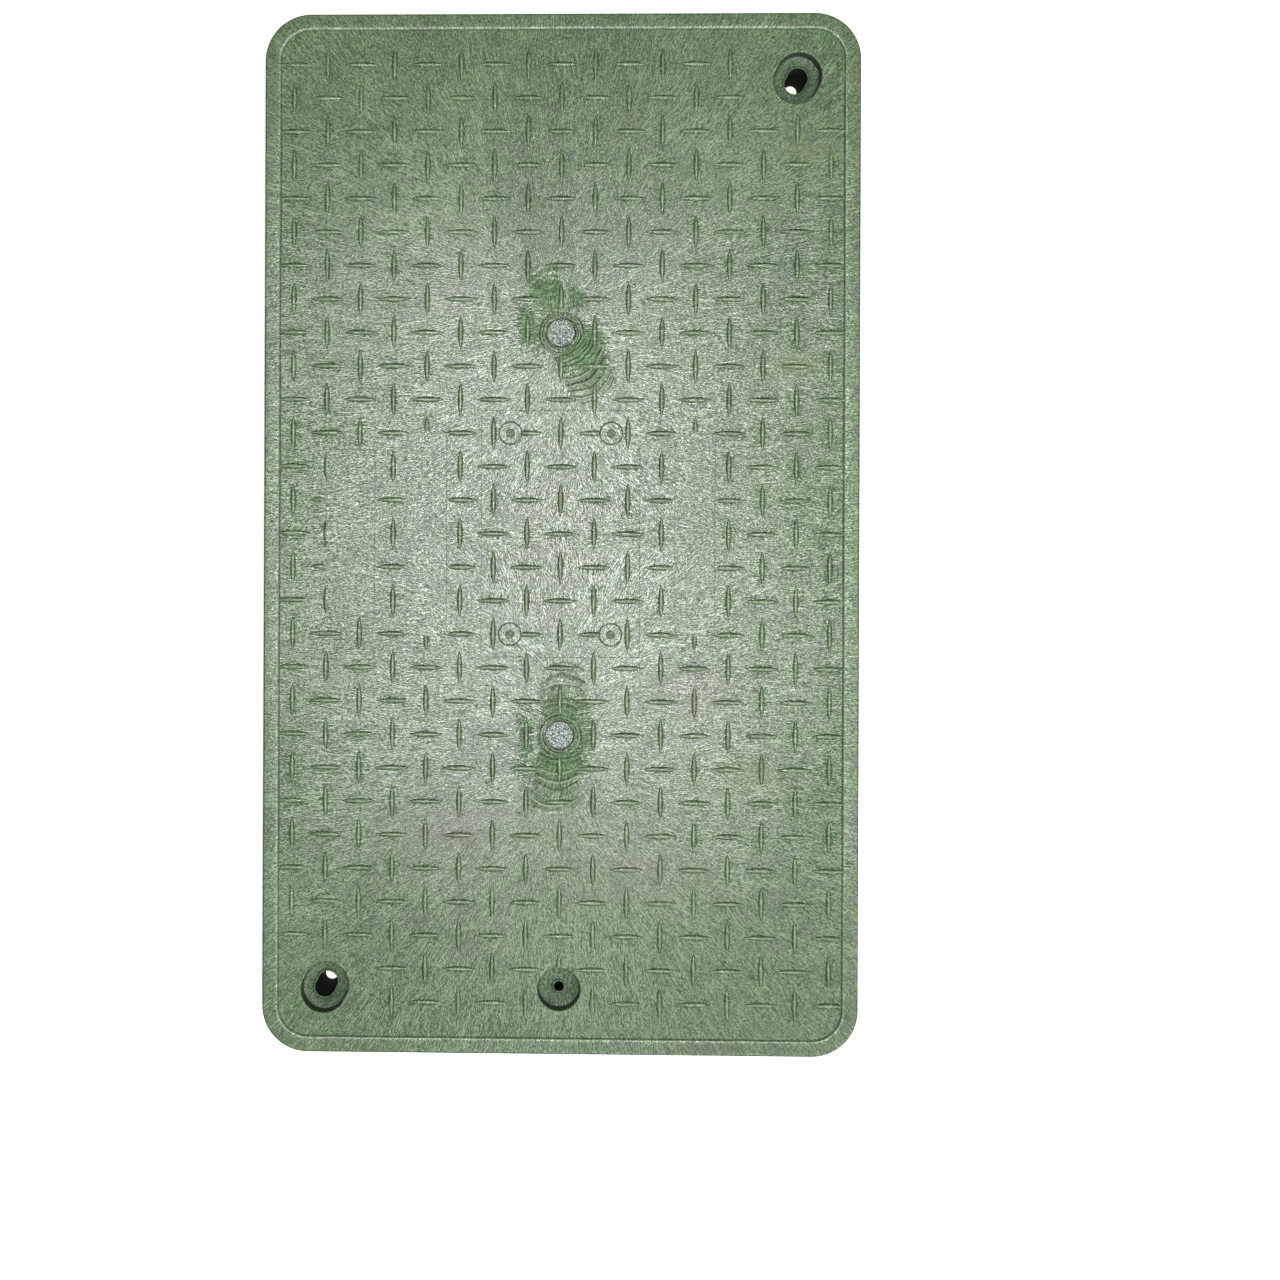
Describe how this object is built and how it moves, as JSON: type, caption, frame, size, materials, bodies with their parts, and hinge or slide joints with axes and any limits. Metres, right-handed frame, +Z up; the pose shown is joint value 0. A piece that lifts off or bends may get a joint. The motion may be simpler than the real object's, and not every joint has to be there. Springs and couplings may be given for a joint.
{
  "type": "valve box cover",
  "caption": "Rectangular moulded cover for an in-ground valve box, with a raised cross-hatched tread, two slotted bolt seats, a pick hole and crossed ribs underneath.",
  "frame": {"origin": "middle of the cover's outline, on the plane of the outer wall's lower edge, which it stands on", "axes": "+Z up out of the tread, +Y along the long side towards the end without the pick hole, +X across to the right as seen from above"},
  "size_m": [0.451, 0.788, 0.0508],
  "materials": {
    "cover": "moulded green foam plastic with silvery flow streaks"
  },
  "bodies": {
    "root": {"cover": "cover"}
  },
  "joints": []
}
